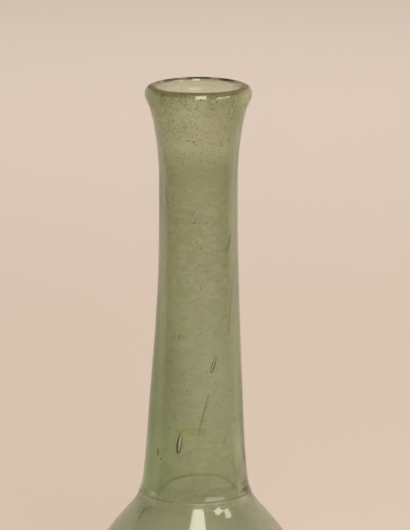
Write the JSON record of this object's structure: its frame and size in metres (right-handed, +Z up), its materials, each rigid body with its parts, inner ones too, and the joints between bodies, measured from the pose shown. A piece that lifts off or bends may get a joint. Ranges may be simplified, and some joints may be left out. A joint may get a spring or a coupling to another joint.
{
  "type": "glass vial",
  "caption": "Hollow glass vial with a round body on a pushed-in base, a tooled crease under a tall tapering neck, and a flared mouth with a rounded lip.",
  "frame": {"origin": "middle of the underside, in the plane of the flat ring that the vial stands on", "axes": "+Z up along the body's axis; -Y is the front, as pictured; +X is the way the neck has drifted"},
  "size_m": [0.062, 0.062, 0.1648],
  "materials": {
    "green_glass": "clear grey-green natural glass, glossy outside, with a thin brown film inside the neck"
  },
  "bodies": {
    "root": {"vial": "green_glass"}
  },
  "joints": []
}
